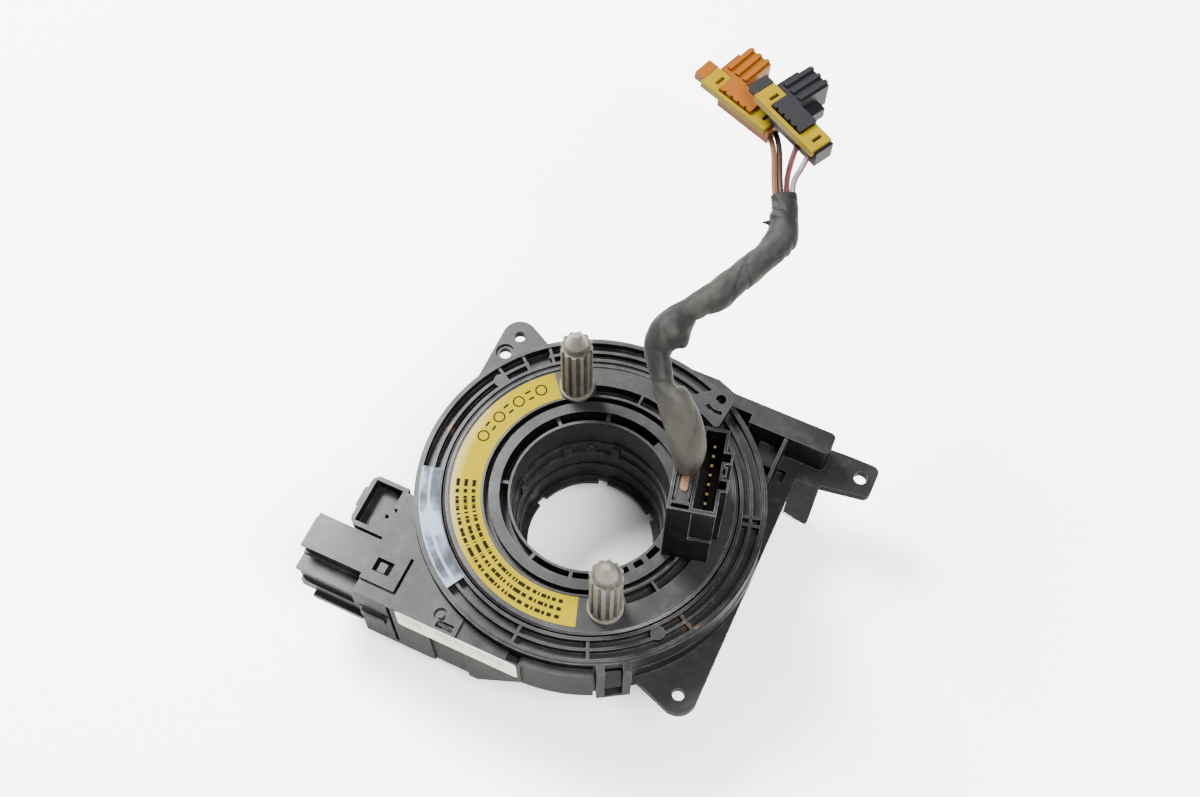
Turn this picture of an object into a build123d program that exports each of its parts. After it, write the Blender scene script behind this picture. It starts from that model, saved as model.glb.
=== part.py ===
"""Steering clock spring with its harness pigtail and two igniter plugs

Millimetres, +Z up along the steering axis. The origin is on that axis, at the level of the rim that
the unit stands on. The rotor turns about +Z inside the housing; a flat cable coils between them.
"""
from math import atan2, cos, degrees, pi, radians, sin, tan
import os
from build123d import *

os.makedirs("parts", exist_ok=True)

# Levels above the table
ring_top = 42.0                       # top face of the cover ring and of the rotor disc
plate_drop = 3.0                      # the housing's top plates lie this far below the ring
skirt_h = 8.0                         # depth of the cover ring's skirt
floor_z = 22.0                        # underside of the housing floor
floor_t = 2.0
flange_drop = 14.5                    # top of the mounting flange below the ring
flange_t = 3.0
disc_t = 6.0                          # rotor disc, rim included
plate_top = ring_top - plate_drop
seam = ring_top - skirt_h
flange_top = ring_top - flange_drop
disc_under = ring_top - disc_t

# Radii about the steering axis
bore_r = 21.9                         # mouth of the rotor bore
hub_wall = 4.3
rotor_r = 40.1                        # edge of the rotor disc
ring_gap = 0.5                        # running gap between rotor and cover ring
rim_w, lip_w = 0.9, 1.5               # inner rim and outer lip of the cover ring
groove_a_w, land_w, groove_b_w = 1.9, 0.8, 2.3      # its two grooves and the land between them
ring_wall = 1.8
body_step = 0.2                       # the housing wall stands this far outside the ring
body_wall = 2.0
bearing_gap = 0.1                     # running clearance of the rotor hub in its bearings
hub_r = bore_r + hub_wall
ring_in = rotor_r + ring_gap
groove_a = ring_in + rim_w
land_in = groove_a + groove_a_w
land_out = land_in + land_w
lip_in = land_out + groove_b_w
ring_r = lip_in + lip_w               # outside of the cover ring
body_r = ring_r + body_step
chamber_r = body_r - body_wall

# Mounting flange: three ears on one level, the outer holes on one line
flange_half = body_r - 0.05           # half of the width over the straight sides
ear_r = 5.2
ear_hole_r = 1.7
ear_x, ear_y = flange_half - ear_r, body_r - 5.8    # upper left hole
ear_low_y = -body_r + 11.3            # lower right hole, at the same distance from the axis in X
side_hole_x = flange_half + 16.65     # hole in the long right ear, on the upper left hole's line
side_hole_r = 1.95
pilot_x, pilot_y, pilot_r = 3.55 - flange_half, ear_y - 6.5, 1.75
flange_corner_r = 2.1

# Stiff beam behind the ring, and the leg under the right ear
beam_x, beam_y0, beam_y1 = flange_half + 6.25, ear_y - 2.8, ear_y + 3.9
beam_end_x, beam_wing_x, beam_wing_y = -6.0, 18.0, body_r + 0.2
beam_t = 2.0
beam_pocket_x0, beam_pocket_x1, beam_pocket_y = 24.0, 30.5, ear_y - 0.1
pocket_near_y = beam_pocket_y - 6.3   # inside the ring's circle
web_x, web_t = flange_half - 6.75, 0.9
recess_w, recess_floor = 2.7, 0.8      # sunk field of the flange beside the web
beam_corner_r = 1.6
pad_x0, pad_x1, pad_y, pad_h = web_x - 6.4, web_x - 0.4, ear_y - 9.4, 3.0
leg_x0, leg_x1, leg_y0 = flange_half - 0.65, flange_half + 7.05, ear_y - 8.2
gusset_w, gusset_rise = 3.8, 7.8         # gusset between the leg and the ear, and where it starts
leg_clear = 0.4                       # the leg ends this far above the table

# Corner box at the lower left, which takes both connectors
apron_t, apron_start, apron_end = 2.2, -92.0, -64.2
apron_r = body_r + apron_t
corner_x, corner_y = 2.4 - body_r, -apron_r - 0.6
corner_bottom = 7.0
corner_right = 3.5
skirt_cut_x, skirt_cut_z = corner_right - 14.5, corner_bottom + 18.0   # its front wall is cut off slantwise
panel_x0, panel_x1, panel_sunk = corner_right - 27.6, corner_right - 17.0, 0.7      # sunk part of that wall
clip_x, clip_z, clip_w, clip_h = corner_x + 1.2, plate_top - 15.5, 7.2, 3.6
slit_w, slit_depth = 1.1, 1.4
corner_back = -20.0
corner_wall = 2.0
plate_step_x, plate_step = -15.5, 0.8  # the plate is lower right of this line

# Snap loop of the cover ring over a nib on the housing
snap_angle = -58.0
snap_w, snap_t, snap_h = 9.2, 2.1, 21.5
snap_window_w, snap_bar = 4.8, 1.5
snap_clear = 0.2
nib_drop, nib_rise = 14.5, 9.5        # catch of the nib below the ring, height of its ramp

# Cover ring profile
groove_depth = 2.6
land_drop = 0.4
web_under = 1.5                       # web left under the grooves
spoke_w = 0.8
spoke_angles = (-91.0, -66.0, -30.5, 13.0, 16.0, 129.5, 139.5, 149.0)
pocket_start, pocket_end, pocket_depth = 130.5, 138.7, 3.4

# Glossy tape patch on the ring, label on the rotor, label on the front wall
tape_start, tape_end, tape_t = 195.0, 240.8, 0.15
tape_in, tape_out = ring_in + 0.3, lip_in + 0.1
label_start, label_end, label_t = 130.6, 289.0, 0.12
front_label_x0, front_label_x1 = corner_x + 12.5, corner_right - 1.1
front_label_drop, front_label_h = 0.6, 10.6

# Rotor disc profile
rotor_rim_w, rotor_rim_h = 1.4, 0.4
bead_r, bead_w, bead_h = hub_r + 3.0, 0.5, 0.3
channel_r, channel_depth = hub_r + 1.5, 3.4
land_r = bore_r + 2.9
bead_out = bead_r + bead_w
label_in, label_out = bead_out + 0.2, rotor_r - 2.0
collar_w, collar_drop = 0.7, 1.4
pocket_ring_depth = 7.0
arc_pocket_in, arc_pocket_out, arc_pocket_depth = bead_out + 0.3, bead_out + 3.3, 4.0
arc_pockets = ((58.6, 88.0), (89.2, 112.6), (-48.4, -33.0), (-31.8, -8.4))
pocket_ribs = ((103.1, 0.9), (136.6, 0.9), (195.6, 0.9), (253.6, 0.9), (282.0, 0.9),
               (-48.5, 1.2), (-37.5, 1.6), (-27.0, 1.6))
bore_lug_angles = (92.0, 112.0, 131.0, 178.0, 242.0)
disc_shell = 2.2                      # wall left over the hollow underside
bore_steps = ((ring_top - 14.0, bore_r - 0.6), (ring_top - 19.0, bore_r - 1.2),
              (ring_top - 26.0, bore_r - 1.8))      # level and radius of each ledge
hub_bottom = 10.4

# Notched ring under the hub
notch_ring_r = bore_r - 3.6
notch_ring_t = 1.4
notch_ring_z = 6.6
notch_w, notch_depth = 2.8, 1.2
notch_angles = (47.0, 103.2, 164.4, 227.0, 283.2, 344.4)

# Bottom cover
can_r, can_wall = body_r - 5.2, 2.0
can_floor_z, can_floor_t = 7.0, 1.6
can_bearing_h = 8.0
collar_h, collar_t = 1.0, 1.6         # collar round the hub on the housing floor

# Drive pegs
peg_circle_r, peg_angle = rotor_r - 7.4, 121.8
peg_r, peg_flutes, flute_r = 4.4, 12, 0.75
peg_h, peg_cone_h, peg_cone_r, peg_tip_r = 29.5, 5.6, 3.6, 1.0
peg_foot_r, peg_foot_h = 4.9, 1.2
peg_spigot_r, peg_spigot_h, peg_clear = 2.4, 2.6, 0.05

# Locking lug of the rotor, which reaches over the ring
lug_angle, lug_dist = 61.8, rotor_r + 5.2
lug_r, lug_hole_r = 3.4, 1.5
lug_lift, lug_t = 0.4, 2.4
lug_arms = ((rotor_r - 0.9, 7.4), (rotor_r - 0.3, -7.2))      # radius and angle from the lug's own
lug_slot_in, lug_slot_out, lug_slot_depth = lug_r + 0.2, lug_r + 1.5, 1.6
lug_pocket_in, lug_pocket_depth = rotor_r - 4.1, 4.0

# Header housing on the rotor, in its own axes: v away from the steering axis, u along its length
header_angle = 13.9
header_h = 32.0
header_wall, header_end_wall = 0.8, 1.1
bay_w, socket_w = 4.7, 5.3            # inner bay and outer socket, with a partition between them
header_depth = 13.0
bay_depth = 22.0
key_reach, key_w = 1.8, 3.5
key_box_w = 2.8
header_pins, header_pitch, header_pin_w, header_pin_h = 7, 2.65, 0.64, 9.5
header_pin_u = -1.29                  # middle of the row of pins
pin_room_low, pin_room_high, pin_room_out = 3.04, 2.42, 2.4     # from the row to the socket's walls
panel_h, panel_depth = 18.0, 0.6
header_v0 = bore_r - 0.2
partition_v = header_v0 + header_wall * 3 / 2 + bay_w
header_v1 = partition_v + header_wall * 3 / 2 + socket_w
header_pin_v = header_v1 - header_wall - pin_room_out
pin_row_half = ((header_pins - 1) * header_pitch + header_pin_w) / 2
header_u0 = header_pin_u - pin_row_half - pin_room_low - header_end_wall
header_u1 = header_pin_u + pin_row_half + pin_room_high + header_wall
bay_u1 = header_u1 - 2.8              # far end of the inner bay
key_us = (header_pin_u - 3.76, header_pin_u + 3.79)
key_box_u = header_pin_u
slot_w, slot_depth, slot_skin = 1.2, 5.0, 0.5        # pocket in the bay's end wall
bay_u0 = header_u0 + slot_skin + slot_w + 0.6

# Carrier in the header's inner bay, with the bare earth tab on it
carrier_clear = 0.3
carrier_drop = 1.4
tab_v, tab_u, tab_w, tab_l, tab_t = header_v0 + 3.3, -5.6, 2.0, 4.8, 0.6
neck_v, neck_u, neck_r, neck_h = header_v0 + 3.2, -0.9, 2.0, 1.8

# Main connector at the lower left
shell_x0 = corner_x - 19.0
shell_y0, shell_y1, shell_step_y = corner_y + 0.8, corner_y + 16.1, corner_y + 5.5
shell_bottom, shell_step_z = plate_top - 19.5, plate_top - 6.0
shell_wall = 1.3
shell_depth = 14.0
shell_ridge_w, shell_ridge_h = 1.5, 0.9
shell_groove = 0.9
foot_x0, foot_h, foot_gap, foot_out = shell_x0 + 3.6, 3.2, 0.9, 1.3
tongue_x, tongue_y0, tongue_y1, tongue_t = corner_x + 8.6, corner_y + 5.8, corner_y + 12.8, 2.0
nib_x0, nib_x1, nib_y0, nib_y1 = corner_x + 3.0, corner_x + 5.2, corner_y + 7.7, corner_y + 10.4
nib_h = 1.7
shell_pins, shell_pitch, shell_pin_w, shell_pin_l = 8, 1.4, 0.6, 9.0
shell_row_z = (shell_bottom + 4.0, shell_bottom + 10.0)
frame_x1, frame_y0, frame_y1, frame_h = corner_x + 10.2, corner_y + 3.9, corner_y + 14.5, 1.0
window_x0, window_x1, window_y0, window_y1 = nib_x0 - 1.0, nib_x1 + 1.8, nib_y0 - 0.6, nib_y1 + 0.6

# Open tray beside it
tray_x0, tray_y0, tray_y1 = corner_x - 10.7, corner_y + 16.7, corner_y + 32.2
tray_bottom, tray_wall, tray_depth = plate_top - 15.0, 1.3, 4.6
tray_corner_r = 2.4
tray_key_y0, tray_key_y1, tray_key_w = tray_y0 + 5.7, tray_y0 + 11.5, 1.0

# Flat cable: half turns drawn from two centres, so that the coil grows evenly
cable_t, cable_head_room = 0.5, 2.0
cable_in, cable_halves = hub_r + 4.0, 9      # an odd count ends the coil at the outer terminal
cable_angle = 222.0
terminal_arc, terminal_t, terminal_head_room = 12.0, 1.9, 1.4
cable_z = floor_z + floor_t
cable_w = disc_under - cable_z - cable_head_room
terminal_h = disc_under - cable_z - terminal_head_room
terminal_gap = 0.3                    # between the turning terminal and the coil

# Harness: heat-shrunk sleeve, four leads, two plugs
sleeve_d = 8.0
neck_rise = 7.4                       # straight start of the sleeve above the neck
sleeve_rest = ((20.6, 8.6, 88.6), (15.7, 12.6, 93.6), (11.2, 16.6, 97.0), (8.8, 21.1, 99.4),
               (9.9, 26.9, 101.0), (13.4, 32.7, 102.2), (17.2, 38.2, 103.4), (20.9, 44.5, 104.6),
               (24.4, 51.2, 105.6), (25.6, 57.1, 106.6), (23.7, 62.5, 107.8), (21.3, 66.7, 109.0))
lead_d = 1.4
lead_pitch, lead_inset = 1.46, 1.0
lead_out, lead_in = 3.0, 3.0          # straight starts at the sleeve and at the plug
brown_plug_at, brown_plug_turn = (0.3, 88.3, 107.4), -20.0     # place, and angle of the bar
black_plug_at, black_plug_turn = (15.7, 83.0, 114.6), -27.5
bar_x0, bar_x1, bar_y0, bar_y1, bar_t = -13.6, 12.0, -2.1, 3.4, 5.0
bar_plate_t = 1.45                    # plate under the lock piece
cap_x1 = bar_x0 + 3.0                 # cap at the bar's end, as high as the lock piece
core_x0, core_x1, core_rise = -5.2, 5.4, 2.1        # block between the eyes of the lock piece
core_ribs, core_rib_pitch, core_groove = 4, 2.3, 0.5
nose_x0, nose_x1, nose_y1, nose_t = -9.0, -1.5, 13.7, 7.4
nose_rib_w, nose_rib_h, nose_ribs, nose_rib_pitch = 1.1, 0.7, 3, 2.6
shoulder_a, shoulder_b = (nose_x0 - 1.3, 11.0, 4.6), (nose_x1 + 2.8, 10.6, 3.4)   # side, end, thickness
contact_w, contact_pitch, contact_depth = 1.3, 2.5, 5.0
lock_t, lock_gap = 1.0, 0.15
lock_x1, lock_strip_h = bar_x1 - 0.8, 2.2
lock_slots = (cap_x1 + 3.5, lock_x1 - 2.3)
lock_slot_w, lock_slot_l = 1.0, 2.8


def middle(a, b):
    """Half way between two values"""
    return (a + b) / 2


def polar(radius, angle):
    """Point at a radius and an angle about the origin"""
    return (radius * cos(radians(angle)), radius * sin(radians(angle)))


def ring_sector(inner, outer, start, end):
    """Flat face between two radii and two angles about the origin"""
    with BuildSketch(mode=Mode.PRIVATE) as sector:
        with BuildLine():
            near = CenterArc((0, 0), inner, start, end - start)
            far = CenterArc((0, 0), outer, start, end - start)
            Line(near @ 0, far @ 0)
            Line(near @ 1, far @ 1)
        make_face()
    return sector.sketch


def span(x0, y0, x1, y1):
    """Rectangle between two opposite corners"""
    with BuildSketch(mode=Mode.PRIVATE) as rectangle:
        with Locations((middle(x0, x1), middle(y0, y1))):
            Rectangle(abs(x1 - x0), abs(y1 - y0))
    return rectangle.sketch


def snap_plane(distance):
    """Upright plane that faces outwards at the snap loop, with the Z level as its second axis"""
    return Plane(origin=(*polar(distance, snap_angle), 0), x_dir=(*polar(1, snap_angle + 90), 0),
                 z_dir=(*polar(1, snap_angle), 0))


snap_side = Plane(origin=(0, 0, 0), x_dir=(*polar(1, snap_angle), 0),
                  z_dir=(*polar(1, snap_angle - 90), 0))


def finish(part, name):
    """Label a finished piece and write it"""
    part.label = name
    export_step(part, f"parts/{name}.step")


snap_top = ring_top - land_drop

# Housing: floor, wall, flange with ears, beam, corner box and leg in one moulding
with BuildPart() as housing:
    with BuildSketch(Plane.XY.offset(floor_z)):
        Circle(body_r)
    extrude(amount=seam - floor_z)
    # Flange: each ear is drawn as the hull of its boss and of the corners that tie it to the wall
    with BuildSketch(Plane.XY.offset(flange_top - flange_t)):
        with Locations((-ear_x, ear_y)):
            Circle(ear_r)
        with Locations((-flange_half + flange_corner_r, 24), polar(body_r - 1, 126.4)):
            Circle(flange_corner_r)
        make_hull()
    extrude(amount=flange_t)
    with BuildSketch(Plane.XY.offset(flange_top - flange_t)):
        with Locations((ear_x, ear_low_y)):
            Circle(ear_r)
        with Locations((flange_half - flange_corner_r, ear_y - 0.4), polar(body_r - 3.4, -51.3),
                       polar(body_r + 1.2, 58.2)):
            Circle(flange_corner_r)
        make_hull()
    extrude(amount=flange_t)
    with BuildSketch(Plane.XY.offset(flange_top - flange_t)):
        with Locations((side_hole_x - 1.2, ear_y)):
            RectangleRounded(10.9, 10.1, flange_corner_r)
        with Locations((beam_pocket_x1 - 0.5, ear_y + 1.6), polar(body_r + 1.3, 43.4)):
            Circle(flange_corner_r)
        make_hull()
    extrude(amount=flange_t)
    # Beam behind the ring, with a web down to the wall
    with BuildSketch(Plane.XY.offset(flange_top - flange_t)):
        with BuildLine():
            Polyline((beam_end_x, beam_wing_y - 0.4), (beam_wing_x, beam_wing_y),
                     (beam_wing_x + 5.4, beam_y1), (beam_x, beam_y1), (beam_x, beam_y0),
                     (beam_pocket_x1 + 0.5, beam_y0), (beam_pocket_x0, pocket_near_y),
                     (beam_end_x, pocket_near_y), close=True)
        make_face()
        fillet(vertices().group_by(Axis.X)[-1], beam_corner_r)
    extrude(amount=plate_top - flange_top + flange_t)
    with BuildSketch(Plane.XY.offset(flange_top)):
        add(span(web_x, 20, web_x + web_t, beam_y0 + 1))
    extrude(amount=plate_top - flange_top - 0.6)
    with BuildSketch(Plane.XY.offset(flange_top)):
        add(span(pad_x0, pad_y, pad_x1, beam_y0 + 1))
    extrude(amount=pad_h)
    # Its hollow underside, and a pocket between it and the ring
    with BuildSketch(Plane.XY.offset(flange_top - flange_t)):
        add(span(beam_pocket_x1 + beam_t, beam_y0 + beam_t, web_x + web_t, beam_y1 - beam_t))
        add(span(beam_end_x + beam_t, beam_y0 + 4.4, beam_pocket_x0 - beam_t, beam_y1 - 0.6))
    extrude(amount=plate_top - flange_top + flange_t - beam_t, mode=Mode.SUBTRACT)
    with BuildSketch(Plane.XY.offset(plate_top)):
        add(span(beam_pocket_x0, pocket_near_y, beam_pocket_x1, beam_pocket_y))
    extrude(amount=-(plate_top - flange_top), mode=Mode.SUBTRACT)
    # Corner box
    with BuildSketch(Plane.XY.offset(corner_bottom)):
        add(span(corner_x, corner_y, corner_right, corner_back))
    extrude(amount=plate_top - corner_bottom)
    with BuildSketch(Plane.XY.offset(corner_bottom)):
        add(span(corner_x + corner_wall, corner_y + corner_wall, corner_right - corner_wall,
                 corner_back - corner_wall))
    extrude(amount=plate_top - corner_bottom - corner_wall, mode=Mode.SUBTRACT)
    # Its front wall: slanted lower edge, sunk panel, slits round a small clip at the left end
    with BuildSketch(Plane.XZ.offset(-corner_y)):
        with BuildLine():
            Polyline((skirt_cut_x, corner_bottom), (corner_right, skirt_cut_z),
                     (corner_right, corner_bottom), close=True)
        make_face()
    extrude(amount=corner_y - corner_back, mode=Mode.SUBTRACT)
    with BuildSketch(Plane.XZ.offset(-corner_y)):
        add(span(panel_x0, corner_bottom, panel_x1, plate_top - front_label_drop - front_label_h - 0.5))
    extrude(amount=-panel_sunk, mode=Mode.SUBTRACT)
    with BuildSketch(Plane.XZ.offset(-corner_y)):
        add(span(corner_x, clip_z + clip_h + 1, corner_x + 9.6, clip_z + clip_h + 1 + slit_w))
        add(span(corner_x + 9.6, corner_bottom + 3, corner_x + 9.6 + slit_w, plate_top - 1.2))
    extrude(amount=-slit_depth, mode=Mode.SUBTRACT)
    with BuildSketch(Plane.XZ.offset(-corner_y)):
        add(span(clip_x, clip_z, clip_x + clip_w, clip_z + clip_h))
        add(span(clip_x + 0.8, clip_z + clip_h / 2, clip_x + clip_w - 2, clip_z + clip_h / 2 + 0.8),
            mode=Mode.SUBTRACT)
    extrude(amount=slit_w)
    # Front apron, and the wall and floor again where the corner box was hollowed
    with BuildSketch(Plane.XY.offset(floor_z)):
        add(ring_sector(ring_r - 1, apron_r, apron_start, apron_end))
    extrude(amount=plate_top - floor_z)
    with BuildSketch(Plane.XY.offset(floor_z)):
        Circle(body_r)
    extrude(amount=seam - floor_z)
    # Chamber for the flat cable, seat of the cover ring and bore
    with BuildSketch(Plane.XY.offset(floor_z + floor_t)):
        Circle(chamber_r)
    extrude(amount=seam - floor_z, mode=Mode.SUBTRACT)
    with BuildSketch(Plane.XY.offset(seam)):
        Circle(body_r)
    extrude(amount=ring_top - seam, mode=Mode.SUBTRACT)
    with BuildSketch(Plane.XY.offset(corner_bottom)):
        Circle(body_r)
    extrude(amount=floor_z - corner_bottom, mode=Mode.SUBTRACT)
    with BuildSketch(Plane.XY.offset(floor_z)):
        Circle(hub_r + bearing_gap)
    extrude(amount=floor_t, mode=Mode.SUBTRACT)
    with BuildSketch(Plane.XY.offset(floor_z + floor_t)):
        Circle(hub_r + bearing_gap + collar_t)
        Circle(hub_r + bearing_gap, mode=Mode.SUBTRACT)
    extrude(amount=collar_h)
    # Holes of the ears, with a sunk seat round the pilot hole
    with BuildSketch(Plane.XY.offset(flange_top)):
        with Locations((-ear_x, ear_y), (ear_x, ear_low_y)):
            Circle(ear_hole_r)
        with Locations((side_hole_x, ear_y)):
            Circle(side_hole_r)
        with Locations((pilot_x, pilot_y)):
            Circle(pilot_r)
    extrude(amount=-flange_t, mode=Mode.SUBTRACT)
    with BuildSketch(Plane.XY.offset(flange_top)):
        add(span(web_x + web_t, leg_y0 - 2.6, web_x + web_t + recess_w, leg_y0 + 1))
    extrude(amount=recess_floor - flange_t, mode=Mode.SUBTRACT)
    with BuildSketch(Plane.XY.offset(flange_top)):
        with Locations((pilot_x, pilot_y)):
            Circle(pilot_r + 1)
    extrude(amount=-0.8, mode=Mode.SUBTRACT)
    # Leg under the right ear: front wall with a slanted foot, tied to the ear by a gusset
    with BuildSketch(Plane.XZ.offset(-leg_y0)):
        with BuildLine():
            Polyline((leg_x0, flange_top), (leg_x1, flange_top), (leg_x1, leg_clear + 3.1),
                     (leg_x1 - 0.3, leg_clear), (leg_x1 - 1.2, leg_clear),
                     (leg_x0, leg_clear + 2.5), close=True)
        make_face()
    extrude(amount=-beam_t)
    with BuildSketch(Plane.YZ.offset(leg_x1)):
        with BuildLine():
            Polyline((leg_y0, flange_top), (leg_y0 + gusset_w, flange_top),
                     (leg_y0 + beam_t, leg_clear + gusset_rise), (leg_y0, leg_clear + gusset_rise),
                     close=True)
        make_face()
    extrude(amount=-beam_t)
    # Latch frame on the corner plate, with the window of the connector's nib and a side groove
    with BuildSketch(Plane.XY.offset(plate_top)):
        add(span(corner_x, frame_y0, frame_x1, frame_y1))
    extrude(amount=frame_h)
    with BuildSketch(Plane.XY.offset(plate_top + frame_h)):
        add(span(window_x0, window_y0, window_x1, window_y1))
    extrude(amount=-frame_h - corner_wall, mode=Mode.SUBTRACT)
    with BuildSketch(Plane.XY.offset(plate_top)):
        add(span(frame_x1, frame_y0, frame_x1 + 0.6, frame_y1))
    extrude(amount=-1.5, mode=Mode.SUBTRACT)
    with BuildSketch(Plane.XY.offset(plate_top)):
        add(span(corner_x + 24.2, corner_y + 0.5, corner_x + 29.1, corner_y + corner_wall + 0.6))
        add(span(corner_right - 4.4, corner_y + 0.5, corner_right - 0.8, corner_y + 4))
    extrude(amount=-corner_wall - 1.2, mode=Mode.SUBTRACT)
    with BuildSketch(Plane.XY.offset(plate_top)):
        add(span(plate_step_x, corner_y, corner_right, corner_y + 6))
    extrude(amount=-plate_step, mode=Mode.SUBTRACT)
    with BuildSketch(Plane.XY.offset(plate_top)):
        with Locations((corner_x + 24.2, corner_y + 4)):
            Circle(1.9)
            Circle(0.95, mode=Mode.SUBTRACT)
    extrude(amount=-0.9, mode=Mode.SUBTRACT)
    # Room for the cover ring's snap loop, and the ramped nib that it hooks under
    with BuildSketch(snap_plane(body_r)):
        add(span(-snap_w / 2 - snap_clear, floor_z - 4, snap_w / 2 + snap_clear, ring_top))
    extrude(amount=snap_t + 2 * snap_clear + 3, mode=Mode.SUBTRACT)
    with BuildSketch(snap_side):
        with BuildLine():
            Polyline((body_r - body_wall / 2, ring_top - nib_drop),
                     (body_r + snap_t - snap_clear, ring_top - nib_drop),
                     (body_r + 2 * snap_clear, ring_top - nib_drop + nib_rise),
                     (body_r + snap_clear, ring_top - nib_drop + nib_rise),
                     (body_r + snap_clear, seam), (body_r - body_wall / 2, seam), close=True)
        make_face()
    extrude(amount=snap_window_w / 2 - snap_clear, both=True)
    # Mouth in the left wall for the connector's tongue
    with BuildSketch(Plane.YZ.offset(corner_x)):
        add(span(tongue_y0 - 0.3, plate_top - corner_wall - tongue_t - 0.3,
                 tongue_y1 + 0.3, plate_top - corner_wall))
    extrude(amount=corner_wall, mode=Mode.SUBTRACT)
finish(housing.part, "lower_housing")

# Bottom cover: a can whose rim stands on the table, with the lower bearing of the hub
with BuildPart() as bottom_cover:
    with BuildSketch():
        Circle(can_r)
        Circle(can_r - can_wall, mode=Mode.SUBTRACT)
    extrude(amount=floor_z)
    with BuildSketch(Plane.XY.offset(can_floor_z)):
        Circle(can_r - can_wall / 2)
        Circle(hub_r + bearing_gap, mode=Mode.SUBTRACT)
    extrude(amount=can_floor_t)
    with BuildSketch(Plane.XY.offset(can_floor_z)):
        Circle(hub_r + bearing_gap + can_wall)
        Circle(hub_r + bearing_gap, mode=Mode.SUBTRACT)
    extrude(amount=can_bearing_h)
finish(bottom_cover.part, "bottom_cover")

# Cover ring: two grooves with a land between them, spokes across, skirt and snap loop
groove_floor = ring_top - groove_depth
with BuildPart() as cover_ring:
    with BuildSketch(Plane.XZ):
        with BuildLine():
            Polyline((ring_in, disc_under + 1), (ring_in, ring_top), (groove_a, ring_top),
                     (groove_a, groove_floor), (land_in, groove_floor), (land_in, snap_top),
                     (land_out, snap_top), (land_out, groove_floor), (lip_in, groove_floor),
                     (lip_in, ring_top), (ring_r - 0.7, ring_top), (ring_r - 0.7, snap_top),
                     (ring_r, snap_top), (ring_r, seam), (ring_r - ring_wall, seam),
                     (ring_r - ring_wall, groove_floor - web_under),
                     (groove_a, groove_floor - web_under), (groove_a, disc_under + 1), close=True)
        make_face()
    revolve(axis=Axis.Z)
    with BuildSketch(Plane.XY.offset(ring_top)):
        add(ring_sector(groove_a, lip_in, pocket_start, pocket_end))
    extrude(amount=-pocket_depth, mode=Mode.SUBTRACT)
    for angle in spoke_angles:
        with BuildSketch(Plane.XY.offset(groove_floor)):
            with PolarLocations(middle(groove_a, lip_in), 1, start_angle=angle):
                Rectangle(lip_in - groove_a + 0.2, spoke_w)
        extrude(amount=snap_top - groove_floor)
    # Round ejector bosses in the inner groove
    with BuildSketch(Plane.XY.offset(groove_floor)):
        with Locations(polar(land_in - 0.4, 151.3), polar(land_in - 0.4, -41.0)):
            Circle(groove_a_w)
    extrude(amount=snap_top - groove_floor)
    # Snap loop
    with BuildSketch(snap_plane(body_r + snap_clear)):
        add(span(-snap_w / 2, snap_top - snap_h, snap_w / 2, snap_top))
    extrude(amount=snap_t)
    with BuildSketch(snap_plane(ring_r - 1)):
        add(span(-snap_w / 2, seam + 1, snap_w / 2, snap_top))
    extrude(amount=body_step + snap_clear + 1)
    with BuildSketch(snap_plane(ring_r)):
        add(span(-snap_window_w / 2, snap_top - snap_h + snap_bar, snap_window_w / 2, ring_top))
    extrude(amount=body_step + snap_clear + snap_t, mode=Mode.SUBTRACT)
finish(cover_ring.part, "cover_ring")

# Tape patch across the grooves, and the blank label on the front wall
with BuildPart() as tape_patch:
    with BuildSketch(Plane.XY.offset(ring_top)):
        add(ring_sector(tape_in, tape_out, tape_start, tape_end))
    extrude(amount=tape_t)
finish(tape_patch.part, "tape_patch")
with BuildPart() as front_label:
    with BuildSketch(Plane.XZ.offset(-corner_y)):
        with Locations((middle(front_label_x0, front_label_x1),
                        plate_top - front_label_drop - front_label_h / 2)):
            RectangleRounded(front_label_x1 - front_label_x0, front_label_h, 1.2)
    extrude(amount=label_t)
finish(front_label.part, "front_label")

# Axes of the header housing on the rotor: local x is v, local y is u
header_plane = Plane(origin=(0, 0, ring_top), x_dir=(*polar(1, header_angle), 0), z_dir=(0, 0, 1))
header_top = header_plane.offset(header_h)

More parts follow.
